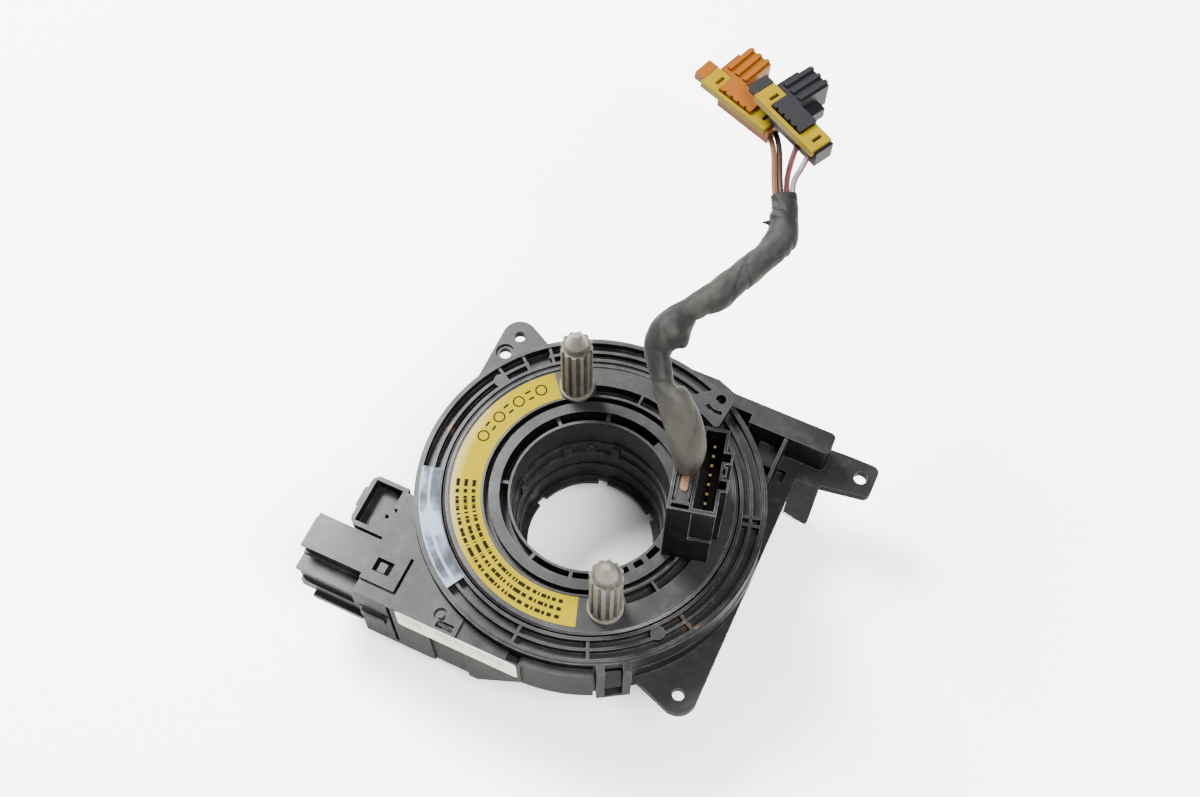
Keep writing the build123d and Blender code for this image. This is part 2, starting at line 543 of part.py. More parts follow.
# Rotor: disc and hub in one moulding, with pockets round the mouth of the bore
shell_in = arc_pocket_out + 1.2
ledges = [(bore_r, ring_top - collar_drop)]
for level, radius in bore_steps:
    ledges += [(ledges[-1][0], level), (radius, level)]
with BuildPart() as rotor_disc:
    with BuildSketch(Plane.XZ):
        with BuildLine():
            Polyline((hub_r, hub_bottom), (hub_r, disc_under), (shell_in, disc_under),
                     (shell_in, ring_top - disc_shell),
                     (rotor_r - rotor_rim_w, ring_top - disc_shell),
                     (rotor_r - rotor_rim_w, disc_under), (rotor_r, disc_under),
                     (rotor_r, ring_top), (rotor_r - rotor_rim_w / 2, ring_top + rotor_rim_h),
                     (rotor_r - rotor_rim_w, ring_top + rotor_rim_h),
                     (rotor_r - rotor_rim_w, ring_top), (bead_out, ring_top),
                     (bead_out, ring_top + bead_h), (bead_r, ring_top + bead_h),
                     (bead_r, ring_top - channel_depth), (channel_r, ring_top - channel_depth),
                     (channel_r, ring_top), (land_r, ring_top),
                     (land_r, ring_top - pocket_ring_depth),
                     (bore_r + collar_w, ring_top - pocket_ring_depth),
                     (bore_r + collar_w, ring_top - collar_drop), *ledges,
                     (ledges[-1][0], hub_bottom), close=True)
        make_face()
    revolve(axis=Axis.Z)
    # Filled part of the pocket ring, and its ribs
    with BuildSketch(Plane.XY.offset(ring_top - pocket_ring_depth)):
        add(ring_sector(bore_r + 0.2, land_r + 0.2, -15.0, 65.0))
        for angle, width in pocket_ribs:
            with PolarLocations(middle(bore_r + 0.2, land_r + 0.2), 1, start_angle=angle):
                Rectangle(land_r - bore_r, width)
    extrude(amount=pocket_ring_depth - collar_drop)
    # Arc pockets in the clear part of the disc
    with BuildSketch(Plane.XY.offset(ring_top)):
        for start, end in arc_pockets:
            add(ring_sector(arc_pocket_in, arc_pocket_out, start, end))
    extrude(amount=-arc_pocket_depth, mode=Mode.SUBTRACT)
    # Lugs inside the bore
    for angle in bore_lug_angles:
        with BuildSketch(Plane.XY.offset(bore_steps[1][0])):
            add(ring_sector(bore_steps[0][1] - 0.8, bore_steps[0][1] + 0.3, angle, angle + 6))
        extrude(amount=bore_steps[0][0] - bore_steps[1][0])
    # Locking lug over the ring, with a curved slot between its eye and its foot
    with BuildSketch(Plane.XY.offset(ring_top + lug_lift)):
        with Locations(polar(lug_dist, lug_angle)):
            Circle(lug_r)
        with Locations(*[polar(radius, lug_angle + angle) for radius, angle in lug_arms]):
            Circle(1.0)
        make_hull()
    extrude(amount=lug_t)
    with BuildSketch(Plane.XY.offset(ring_top - 1)):
        add(ring_sector(rotor_r - rotor_rim_w, rotor_r - 0.1, lug_angle - 8.5, lug_angle + 7.5))
    extrude(amount=lug_lift + 1 + lug_t / 2)
    with BuildSketch(Plane.XY.offset(ring_top + lug_lift)):
        with Locations(polar(lug_dist, lug_angle)):
            Circle(lug_hole_r)
    extrude(amount=lug_t, mode=Mode.SUBTRACT)
    with BuildSketch(Plane.XY.offset(ring_top + lug_lift + lug_t)):
        with Locations(polar(lug_dist, lug_angle)):
            add(ring_sector(lug_slot_in, lug_slot_out, lug_angle + 163.5, lug_angle + 234))
    extrude(amount=-lug_slot_depth, mode=Mode.SUBTRACT)
    # Pocket in the disc beside it, in a thicker part of the shell
    with BuildSketch(Plane.XY.offset(ring_top - lug_pocket_depth - 1.2)):
        add(ring_sector(lug_pocket_in - 1, rotor_r - rotor_rim_w + 0.1, lug_angle - 6, lug_angle + 6.4))
    extrude(amount=lug_pocket_depth + 1.2 - disc_shell / 2)
    with BuildSketch(Plane.XY.offset(ring_top)):
        add(ring_sector(lug_pocket_in, rotor_r - rotor_rim_w - 0.2, lug_angle - 4.8, lug_angle + 5.2))
    extrude(amount=-lug_pocket_depth, mode=Mode.SUBTRACT)
    # Seat of the header housing and sockets of the pegs
    with BuildSketch(header_plane):
        add(span(header_v0 - 1, header_u0, header_v1 + key_reach, header_u1))
    extrude(amount=1, mode=Mode.SUBTRACT)
    with BuildSketch(Plane.XY.offset(ring_top)):
        with PolarLocations(peg_circle_r, 2, start_angle=peg_angle):
            Circle(peg_foot_r + peg_clear)
    extrude(amount=1, mode=Mode.SUBTRACT)
    with BuildSketch(Plane.XY.offset(ring_top)):
        with PolarLocations(peg_circle_r, 2, start_angle=peg_angle):
            Circle(peg_spigot_r + peg_clear)
    extrude(amount=-peg_spigot_h - peg_clear, mode=Mode.SUBTRACT)
finish(rotor_disc.part, "rotor_disc")

# Notched ring that closes the lower end of the hub
with BuildPart() as notched_ring:
    with BuildSketch(Plane.XY.offset(notch_ring_z)):
        Circle(hub_r)
        Circle(notch_ring_r, mode=Mode.SUBTRACT)
        for angle in notch_angles:
            with PolarLocations(notch_ring_r, 1, start_angle=angle):
                Rectangle(2 * notch_depth, notch_w, mode=Mode.SUBTRACT)
    extrude(amount=notch_ring_t)
    with BuildSketch(Plane.XY.offset(notch_ring_z)):
        Circle(hub_r)
        Circle(bore_steps[-1][1], mode=Mode.SUBTRACT)
    extrude(amount=hub_bottom - notch_ring_z)
finish(notched_ring.part, "notched_ring")

# Drive pegs: fluted, with a smooth cone at the tip
for index in range(2):
    peg_at = polar(peg_circle_r, peg_angle + 180 * index)
    with BuildPart() as peg:
        with BuildSketch(Plane.XY.offset(ring_top).move(Location((*peg_at, 0)))):
            Circle(peg_foot_r)
        extrude(amount=peg_foot_h)
        with BuildSketch(Plane.XY.offset(ring_top).move(Location((*peg_at, 0)))):
            Circle(peg_r)
            with PolarLocations(peg_r + flute_r / 3, peg_flutes):
                Circle(flute_r, mode=Mode.SUBTRACT)
        extrude(amount=peg_h - peg_cone_h)
        with BuildSketch(Plane.XY.offset(ring_top + peg_h - peg_cone_h).move(Location((*peg_at, 0)))):
            Circle(peg_cone_r)
        extrude(amount=peg_cone_h - peg_tip_r,
                taper=degrees(atan2(peg_cone_r - peg_tip_r * 1.6, peg_cone_h - peg_tip_r)))
        with BuildSketch(Plane.XY.offset(ring_top + peg_h - peg_tip_r).move(Location((*peg_at, 0)))):
            Circle(peg_tip_r * 1.6)
        extrude(amount=peg_tip_r, taper=38)
        with BuildSketch(Plane.XY.offset(ring_top).move(Location((*peg_at, 0)))):
            Circle(peg_spigot_r)
        extrude(amount=-peg_spigot_h)
    finish(peg.part, f"drive_peg_{'ab'[index]}")

# Label on the rotor disc
with BuildPart() as rotor_label:
    with BuildSketch(Plane.XY.offset(ring_top)):
        add(ring_sector(label_in, label_out, label_start, label_end))
        with PolarLocations(peg_circle_r, 2, start_angle=peg_angle):
            Circle(peg_foot_r + 0.2, mode=Mode.SUBTRACT)
    extrude(amount=label_t)
finish(rotor_label.part, "rotor_label")

# Header housing: outer socket with two key slots, inner bay for the harness carrier
with BuildPart() as header_housing:
    with BuildSketch(header_plane):
        add(span(header_v0, header_u0, header_v1, header_u1))
        for key_u in key_us:
            add(span(header_v1 - 1, key_u - key_w / 2, header_v1 + key_reach, key_u + key_w / 2))
    extrude(amount=header_h)
    with BuildSketch(header_top):
        add(span(partition_v + header_wall / 2, header_u0 + header_end_wall, header_v1 - header_wall,
                 header_u1 - header_wall))
        for key_u in key_us:
            add(span(header_v1 - 1.5, key_u - key_w / 2 + 0.5, header_v1 + key_reach - 0.5,
                     key_u + key_w / 2 - 0.5))
    extrude(amount=-header_depth, mode=Mode.SUBTRACT)
    with BuildSketch(header_top):
        add(span(header_v0 + header_wall, bay_u0, partition_v - header_wall / 2, bay_u1))
    extrude(amount=-bay_depth, mode=Mode.SUBTRACT)
    with BuildSketch(header_top):
        add(span(header_v0 + header_wall, header_u0 + slot_skin, partition_v - header_wall / 2,
                 header_u0 + slot_skin + slot_w))
    extrude(amount=-slot_depth, mode=Mode.SUBTRACT)
    # Key box between the slots, thin slots in the partition, sunk front panel
    with BuildSketch(header_top):
        add(span(header_v1 - header_wall, key_box_u - key_box_w / 2, header_v1 + 0.9,
                 key_box_u + key_box_w / 2))
    extrude(amount=-header_h)
    with BuildSketch(header_top):
        add(span(header_v1 - 0.3, key_box_u - key_box_w / 2 + 0.5, header_v1 + 0.4,
                 key_box_u + key_box_w / 2 - 0.5))
    extrude(amount=-6, mode=Mode.SUBTRACT)
    with BuildSketch(header_plane.offset(header_h - panel_h)):
        add(span(partition_v + 0.4, header_u0, header_v1, header_u0 + panel_depth))
    extrude(amount=panel_h - 1.2, mode=Mode.SUBTRACT)
finish(header_housing.part, "header_housing")

with BuildPart() as header_pin_row:
    with BuildSketch(header_plane.offset(header_h - header_depth)):
        with Locations((header_pin_v, header_pin_u)):
            with GridLocations(1, header_pitch, 1, header_pins):
                Rectangle(header_pin_w, header_pin_w)
    extrude(amount=header_pin_h)
finish(header_pin_row.part, "header_pins")

# Harness carrier in the inner bay: block, cross bar and the neck that the sleeve is shrunk on
carrier_u0, carrier_u1 = bay_u0 + carrier_clear, bay_u1 - carrier_clear
carrier_v0 = header_v0 + header_wall + carrier_clear
carrier_v1 = partition_v - header_wall / 2 - carrier_clear
carrier_h = bay_depth - carrier_drop
carrier_plane = header_plane.offset(header_h - bay_depth)
with BuildPart() as harness_carrier:
    with BuildSketch(carrier_plane):
        add(span(carrier_v0, carrier_u0, carrier_v1, carrier_u1))
    extrude(amount=carrier_h)
    with BuildSketch(carrier_plane.offset(carrier_h)):
        add(span(carrier_v0, carrier_u0 + 1.2, carrier_v0 + 0.5, carrier_u1))
        add(span(carrier_v1 - 0.5, carrier_u0 + 1.2, carrier_v1, carrier_u1))
    extrude(amount=0.5)
    with BuildSketch(carrier_plane.offset(carrier_h)):
        with Locations((neck_v, neck_u)):
            Circle(neck_r)
    extrude(amount=neck_h)
finish(harness_carrier.part, "harness_carrier")

with BuildPart() as earth_tab:
    with BuildSketch(carrier_plane.offset(carrier_h)):
        with Locations((tab_v, tab_u)):
            SlotOverall(tab_l, tab_w, rotation=90)
    extrude(amount=tab_t)
finish(earth_tab.part, "earth_tab")

# Main connector: stepped shell open to the left, with a latch tongue under the corner plate
with BuildPart() as main_connector:
    with BuildSketch(Plane.YZ.offset(shell_x0)):
        add(span(shell_y0, shell_bottom, shell_y1, shell_step_z))
        add(span(shell_step_y, shell_step_z, shell_y1 + 0.0, plate_top))
        add(span(shell_y1 - shell_ridge_w, plate_top - shell_ridge_h, shell_y1, plate_top),
            mode=Mode.SUBTRACT)
    extrude(amount=corner_x - shell_x0)
    with BuildSketch(Plane.YZ.offset(shell_x0)):
        add(span(shell_y0 + shell_wall, shell_bottom + shell_wall, shell_y1 - shell_wall,
                 shell_step_z - shell_wall))
        add(span(shell_step_y + shell_wall, shell_step_z - shell_wall - 0.1,
                 shell_y1 - shell_wall - shell_ridge_w, plate_top - shell_wall))
    extrude(amount=shell_depth, mode=Mode.SUBTRACT)
    # Grooves under the top plate and under the step, foot with a ledge along the bottom
    with BuildSketch(Plane.YZ.offset(shell_x0)):
        add(span(shell_step_y, shell_step_z + 0.8, shell_step_y + shell_groove, plate_top - 1.2))
        add(span(shell_y0, shell_bottom + 4.5, shell_y0 + shell_groove, shell_step_z - 1.2))
    extrude(amount=corner_x - shell_x0 - 2, mode=Mode.SUBTRACT)
    with BuildSketch(Plane.YZ.offset(foot_x0)):
        add(span(shell_y0 - foot_out, shell_bottom - foot_h, shell_y0 + 6, shell_bottom - foot_gap))
        add(span(shell_y0 + shell_wall, shell_bottom - foot_h, shell_y0 + 6, shell_bottom))
    extrude(amount=corner_x - foot_x0)
    tongue_top = plate_top - corner_wall
    with BuildSketch(Plane.XY.offset(tongue_top - tongue_t)):
        add(span(corner_x, tongue_y0, tongue_x, tongue_y1))
    extrude(amount=tongue_t)
    with BuildSketch(Plane.XY.offset(tongue_top)):
        add(span(nib_x0, nib_y0, nib_x1, nib_y1))
    extrude(amount=nib_h)
finish(main_connector.part, "main_connector_shell")

with BuildPart() as main_pins:
    for row_z in shell_row_z:
        with BuildSketch(Plane.YZ.offset(shell_x0 + shell_depth - shell_pin_l)):
            with Locations((middle(shell_y0, shell_y1), row_z)):
                with GridLocations(shell_pitch, 1, shell_pins, 1):
                    Rectangle(shell_pin_w, shell_pin_w)
        extrude(amount=shell_pin_l)
finish(main_pins.part, "main_connector_pins")

# Tray beside the main connector, open upwards, with a key rib on its left wall
with BuildPart() as side_tray:
    with BuildSketch(Plane.XY.offset(tray_bottom)):
        add(span(tray_x0, tray_y0, corner_x, tray_y1))
        fillet(vertices().group_by(Axis.X)[0], tray_corner_r)
    extrude(amount=plate_top - tray_bottom)
    with BuildSketch(Plane.XY.offset(plate_top)):
        add(span(tray_x0 + tray_wall, tray_y0 + tray_wall, corner_x - tray_wall,
                 tray_y1 - tray_wall))
    extrude(amount=-tray_depth, mode=Mode.SUBTRACT)
    with BuildSketch(Plane.XY.offset(tray_bottom)):
        add(span(tray_x0 - tray_key_w, tray_key_y0, tray_x0 + 0.2, tray_key_y1))
    extrude(amount=plate_top - tray_bottom - 1.0)
    with BuildSketch(Plane.XY.offset(plate_top - tray_depth)):
        add(span(tray_x0 + 6.1, tray_key_y0, corner_x - tray_wall - 0.4, tray_key_y0 + 2))
    extrude(amount=-3.0, mode=Mode.SUBTRACT)
    with BuildSketch(Plane.XY.offset(plate_top - tray_depth)):
        with Locations((corner_x - tray_wall - 1.2, tray_y0 + 3.3)):
            Circle(3.1)
        add(span(corner_x, tray_y0, corner_x + 9, tray_y1), mode=Mode.SUBTRACT)
    extrude(amount=tray_depth - 0.6)
    # Angled hole through its floor
    with BuildSketch(Plane.XY.offset(plate_top)):
        add(span(corner_x - tray_wall - 1.2, tray_y0 + 5.4, corner_x - tray_wall - 0.1, tray_y0 + 8.8))
        add(span(corner_x - tray_wall - 1.2, tray_y0 + 7.7, corner_x, tray_y0 + 8.8))
    extrude(amount=tray_bottom - plate_top, mode=Mode.SUBTRACT)
finish(side_tray.part, "side_tray")

# Flat cable coiled in the chamber, drawn as half turns about two centres
cable_growth = (chamber_r - terminal_t - cable_t - cable_in) / (cable_halves - 1)
with BuildPart() as flat_cable:
    for half in range(cable_halves):
        inner = cable_in + half * cable_growth
        turned = 180 * (half % 2)
        with BuildSketch(Plane.XY.offset(cable_z)):
            with Locations(polar(-cable_growth * (half % 2), cable_angle + 180)):
                add(ring_sector(inner, inner + cable_t, cable_angle + turned,
                                cable_angle + turned + 180))
        extrude(amount=cable_w)
finish(flat_cable.part, "flat_cable")

# Where its ends are held: outer block on the housing wall, inner block on the hub
with BuildPart() as outer_terminal:
    with BuildSketch(Plane.XY.offset(floor_z + floor_t)):
        add(ring_sector(chamber_r - terminal_t, chamber_r, cable_angle - terminal_arc / 3,
                        cable_angle + terminal_arc * 2 / 3))
    extrude(amount=terminal_h)
finish(outer_terminal.part, "cable_terminal_outer")
with BuildPart() as inner_terminal:
    with BuildSketch(Plane.XY.offset(disc_under)):
        add(ring_sector(hub_r, cable_in - terminal_gap, cable_angle - 180 - terminal_arc / 2,
                        cable_angle - 180 + terminal_arc / 2))
    extrude(amount=-terminal_h)
finish(inner_terminal.part, "cable_terminal_inner")

# Sleeve of the harness: straight runs joined by arcs as large as the runs allow
neck_top = Vector(*header_plane.from_local_coords(Vector(neck_v, neck_u, 0)))
neck_top = Vector(neck_top.X, neck_top.Y, ring_top + header_h - carrier_drop + neck_h)
sleeve_route = [neck_top, neck_top + Vector(0, 0, neck_rise)] + [Vector(*p) for p in sleeve_rest]


def bend_radii(route):
    """Radius at each corner: 0.45 of the shorter run, over the tangent of half the turn"""
    radii = []
    for before, corner, after in zip(route, route[1:], route[2:]):
        first, second = corner - before, after - corner
        half = radians(first.get_angle(second)) / 2
        radii.append(0.45 * min(first.length, second.length) / tan(half))
    return radii


def cord(route, diameter):
    """Round cord along a route of points, with its length"""
    with BuildLine(mode=Mode.PRIVATE) as path:
        FilletPolyline(*route, radius=bend_radii(route))
    wire = path.wire()
    with BuildPart(mode=Mode.PRIVATE) as tube:
        with BuildSketch(Plane(origin=wire @ 0, z_dir=wire % 0)):
            Circle(diameter / 2)
        sweep(path=wire)
    return tube.part, wire


sleeve, sleeve_wire = cord(sleeve_route, sleeve_d)
print("sleeve radii", [round(r, 1) for r in bend_radii(sleeve_route)])
print("sleeve length", round(sleeve_wire.length, 2), "volume ratio",
      round(sleeve.volume / (pi * sleeve_d ** 2 / 4 * sleeve_wire.length), 4))
finish(sleeve, "harness_sleeve")

# Plugs: a bar with a ribbed nose, and a lock piece that slides on the bar
plug_planes = {"brown": Plane(origin=brown_plug_at, x_dir=(*polar(1, brown_plug_turn), 0)),
               "black": Plane(origin=black_plug_at, x_dir=(*polar(1, black_plug_turn), 0))}
lock_top = bar_t / 2 + lock_gap + lock_t
for name, plane in plug_planes.items():
    with BuildPart() as plug:
        with BuildSketch(plane.offset(bar_t / 2 - bar_plate_t)):
            add(span(bar_x0, bar_y0, bar_x1, bar_y1))
        extrude(amount=bar_plate_t)
        with BuildSketch(plane.offset(bar_t / 2 - bar_plate_t)):
            add(span(bar_x0, bar_y0, cap_x1, bar_y1))
        extrude(amount=lock_top - bar_t / 2 + bar_plate_t)
        with BuildSketch(plane.offset(-bar_t / 2)):
            add(span(core_x0, bar_y0, bar_x1, bar_y1))
        extrude(amount=bar_t)
        with BuildSketch(plane.offset(-bar_t / 2)):
            add(span(core_x0, bar_y0, core_x1, bar_y1))
            with Locations((middle(core_x0, core_x1), bar_y0)):
                with GridLocations(core_rib_pitch, 1, core_ribs, 1):
                    Rectangle(core_rib_pitch / 3, 2 * core_groove, mode=Mode.SUBTRACT)
        extrude(amount=bar_t + core_rise)
        with BuildSketch(plane.offset(-nose_t / 2)):
            add(span(nose_x0, bar_y1, nose_x1, nose_y1))
        extrude(amount=nose_t)
        with BuildSketch(plane.offset(-nose_t / 2 - nose_rib_h)):
            with Locations((middle(nose_x0, nose_x1), middle(bar_y1, nose_y1) + 0.6)):
                with GridLocations(nose_rib_pitch, 1, nose_ribs, 1):
                    Rectangle(nose_rib_w, nose_y1 - bar_y1 - 1)
        extrude(amount=nose_t + 2 * nose_rib_h)
        # Shoulders beside the nose, the right one on its lower half only
        with BuildSketch(plane.offset(-shoulder_a[2] / 2)):
            add(span(shoulder_a[0], bar_y1, nose_x0, shoulder_a[1]))
        extrude(amount=shoulder_a[2])
        with BuildSketch(plane.offset(-nose_t / 2)):
            add(span(nose_x1, bar_y1, shoulder_b[0], shoulder_b[1]))
        extrude(amount=shoulder_b[2])
        with BuildSketch(Plane(origin=plane.from_local_coords((middle(nose_x0, nose_x1), nose_y1, 0)),
                               x_dir=plane.x_dir, z_dir=plane.y_dir)):
            with GridLocations(contact_pitch, 1, 2, 1):
                Rectangle(contact_w, contact_w)
        extrude(amount=-contact_depth, mode=Mode.SUBTRACT)
    finish(plug.part, f"{name}_plug")
    # Lock piece: two eyes on the bar, joined by a low strip in front of it
    with BuildPart() as lock:
        with BuildSketch(plane.offset(lock_top - lock_t)):
            add(span(cap_x1 + lock_gap, bar_y0 - lock_gap - lock_t, core_x0 - lock_gap,
                     bar_y1 - lock_gap))
            add(span(core_x1 + lock_gap, bar_y0 - lock_gap - lock_t, lock_x1, bar_y1 - lock_gap))
            with Locations(*[(x, middle(bar_y0, bar_y1) - 0.3) for x in lock_slots]):
                Rectangle(lock_slot_w, lock_slot_l, mode=Mode.SUBTRACT)
        extrude(amount=lock_t)
        with BuildSketch(plane.offset(lock_top)):
            add(span(cap_x1 + lock_gap, bar_y0 - lock_gap - lock_t, lock_x1, bar_y0 - lock_gap))
        extrude(amount=-lock_strip_h)
    finish(lock.part, f"{name}_lock")

# Leads from the sleeve into the plugs: place in the row, then entry point and direction in plug axes
end_plane = Plane(origin=sleeve_wire @ 1, z_dir=sleeve_wire % 1)
row_dir = Vector(0, 0, 1).cross(sleeve_wire % 1).normalized()
leads = (("lead_brown", 1.5, "brown", (bar_x1, -1.0, -0.8), (-0.9, 0.44, 0)),
         ("lead_dark", 0.5, "brown", (bar_x1, 1.1, -0.8), (-0.9, 0.44, 0)),
         ("lead_red", -0.5, "black", (5.3, bar_y0, -1.5), (-0.5, 0.87, 0)),
         ("lead_grey", -1.5, "black", (9.3, bar_y0, -1.5), (-0.5, 0.87, 0)))
for name, place, plug_name, entry, inward in leads:
    plane = plug_planes[plug_name]
    entry = plane.from_local_coords(Vector(*entry))
    inward = (plane.from_local_coords(Vector(*inward)) - plane.origin).normalized()
    start = sleeve_wire @ 1 + row_dir * place * lead_pitch
    route = [start - (sleeve_wire % 1) * lead_inset, start + (sleeve_wire % 1) * lead_out,
             entry - inward * lead_in, entry + inward * lead_inset]
    lead, lead_wire = cord(route, lead_d)
    print(name, "radii", [round(r, 1) for r in bend_radii(route)], "length",
          round(lead_wire.length, 2), "solids", len(lead.solids()))
    finish(lead, name)
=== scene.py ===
"""Studio scene of the steering clock spring: camera, harness, finishes and fine pieces, in metres"""
import bpy
import numpy as np
from mathutils import Matrix


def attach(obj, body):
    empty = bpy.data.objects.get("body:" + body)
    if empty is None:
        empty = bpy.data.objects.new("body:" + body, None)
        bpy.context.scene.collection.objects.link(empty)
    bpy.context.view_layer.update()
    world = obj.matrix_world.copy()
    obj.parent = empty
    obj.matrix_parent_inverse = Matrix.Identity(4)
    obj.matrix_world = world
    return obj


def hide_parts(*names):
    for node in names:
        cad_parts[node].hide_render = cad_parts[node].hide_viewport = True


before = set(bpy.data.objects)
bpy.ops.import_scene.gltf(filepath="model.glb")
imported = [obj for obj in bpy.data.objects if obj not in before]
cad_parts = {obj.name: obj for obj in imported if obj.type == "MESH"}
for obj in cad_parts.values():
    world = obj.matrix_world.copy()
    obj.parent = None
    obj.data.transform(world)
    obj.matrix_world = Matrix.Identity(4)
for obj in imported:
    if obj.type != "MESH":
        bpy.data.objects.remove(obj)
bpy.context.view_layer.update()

MM = 0.001


def corners(node):
    """Lowest and highest point of a node's box"""
    points = np.array([corner.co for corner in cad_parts[node].data.vertices])
    return points.min(axis=0), points.max(axis=0)


def placed(right, up, back, place):
    """World matrix of an object with these axes at this place"""
    return Matrix([[*row] for row in np.vstack([
        np.column_stack([right, up, back, place]), [0, 0, 0, 1]])])


ROTOR = "rotor"

# Camera, fitted to the photograph's view
camera = bpy.data.objects.new("camera", bpy.data.cameras.new("camera"))
bpy.context.scene.collection.objects.link(camera)
camera.data.sensor_width, camera.data.lens = 36.0, 45.0
camera_right = (0.90696, 0.42112, 0.009052)
camera_up = (-0.379586, 0.807815, 0.450942)
camera_back = (0.182588, -0.412423, 0.892507)
camera_place = (0.066908, -0.146140, 0.417007)
camera.matrix_world = placed(camera_right, camera_up, camera_back, camera_place)
bpy.context.scene.camera = camera


class Wire:
    """A shader socket that takes part in sums: each operator adds its Math node"""

    def __init__(self, graph, socket):
        self.graph, self.socket = graph, socket

    def maths(self, operation, *values):
        return self.graph.node("ShaderNodeMath", {"operation": operation},
                               {i: v for i, v in enumerate((self, *values))})

    def __add__(self, other):
        return self.maths("ADD", other)

    def __sub__(self, other):
        return self.maths("SUBTRACT", other)

    def __mul__(self, other):
        return self.maths("MULTIPLY", other)

    def __rsub__(self, other):
        return self.graph.node("ShaderNodeMath", {"operation": "SUBTRACT"}, {0: other, 1: self})

    __radd__, __rmul__ = __add__, __mul__

    def above(self, level, soft=0.02):
        """0 below a level, 1 above it, with a soft step between"""
        return self.graph.node("ShaderNodeMapRange", {"interpolation_type": "SMOOTHSTEP"},
                               {"Value": self, "From Min": level - soft, "From Max": level + soft})

    def between(self, low, high, soft=0.02):
        """1 from a low level to a high one, 0 elsewhere, with soft steps"""
        return self.above(low, soft) - self.above(high, soft)


class Graph:
    """Node tree of one material"""

    def __init__(self, name):
        self.material = bpy.data.materials.new(name)
        self.material.use_nodes = True
        self.tree = self.material.node_tree
        self.shader = self.tree.nodes["Principled BSDF"]

    def node(self, kind, settings=None, inputs=None, output=0):
        """Adds a node: its settings first, then the values or wires of its sockets"""
        made = self.tree.nodes.new(kind)
        for key, value in (settings or {}).items():
            setattr(made, key, value)
        self.feed(made, inputs or {})
        return Wire(self, made.outputs[output])

    def feed(self, made, inputs):
        for key, value in inputs.items():
            if isinstance(value, Wire):
                self.tree.links.new(value.socket, made.inputs[key])
            else:
                made.inputs[key].default_value = value

    def place(self):
        """Point on the object, in metres"""
        return self.node("ShaderNodeTexCoord", output="Object")

    def speckle(self, scale, detail=2.0, rough=0.5, at=None):
        return self.node("ShaderNodeTexNoise", {"noise_dimensions": "3D"},
                         {"Vector": at or self.place(), "Scale": scale, "Detail": detail,
                          "Roughness": rough})

    def mix(self, mask, low, high):
        """Colour between two colours by a mask"""
        return self.node("ShaderNodeMix", {"data_type": "RGBA"},
                         {"Factor": mask, 6: low, 7: high}, output=2)

    def bump(self, height, distance, strength=1.0, normal=None):
        inputs = {"Height": height, "Distance": distance, "Strength": strength}
        if normal is not None:
            inputs["Normal"] = normal
        return self.node("ShaderNodeBump", None, inputs)

    def soft_edges(self, radius):
        """Normal that rounds edges over a radius"""
        return self.node("ShaderNodeBevel", {"samples": 4}, {"Radius": radius})

    def vector(self, operation, first, second, output="Vector"):
        return self.node("ShaderNodeVectorMath", {"operation": operation}, {0: first, 1: second},
                         output=output)

    def part(self, vector, letter):
        """One of the X, Y and Z parts of a vector"""
        return self.node("ShaderNodeSeparateXYZ", None, {0: vector}, letter)

    def away_from(self, x, y):
        """Distance in the top view from a point, all in metres"""
        return self.vector("DISTANCE", self.flat_place(), (x, y, 0.0), "Value")

    def worn_edge(self, rounded, level=0.05):
        """1 where the rounded normal leaves the surface's own, which is along sharp edges"""
        own = self.node("ShaderNodeNewGeometry", output="Normal")
        return (1 - self.vector("DOT_PRODUCT", rounded, own, "Value")).above(level, level * 0.8)

    def upward(self):
        """1 on faces that look up, 0 on the sides"""
        own = self.node("ShaderNodeTexCoord", output="Normal")
        return self.part(own, "Z").above(0.6, 0.25)

    def flat_place(self):
        """Point on the object, dropped to the table"""
        return self.vector("MULTIPLY", self.place(), (1.0, 1.0, 0.0))

    def polar(self):
        """Distance in metres from the steering axis, and angle about it in degrees"""
        place = self.place()
        angle = self.part(place, "Y").maths("ARCTAN2", self.part(place, "X"))
        return self.away_from(0.0, 0.0), angle * (180 / np.pi)

    def rings(self, marks, line=0.00012):
        """1 on thin circles round points of the top view, given in millimetres with their radii; line is half
        the width of a circle, in metres"""
        return sum(self.away_from(x * MM, y * MM).between(size * MM - line, size * MM + line, line / 2)
                   for x, y, size in marks)

    def surface(self, **inputs):
        self.feed(self.shader, {key.replace("_", " "): value for key, value in inputs.items()})
        return self.material


def rgb(red, green, blue):
    return (red, green, blue, 1.0)


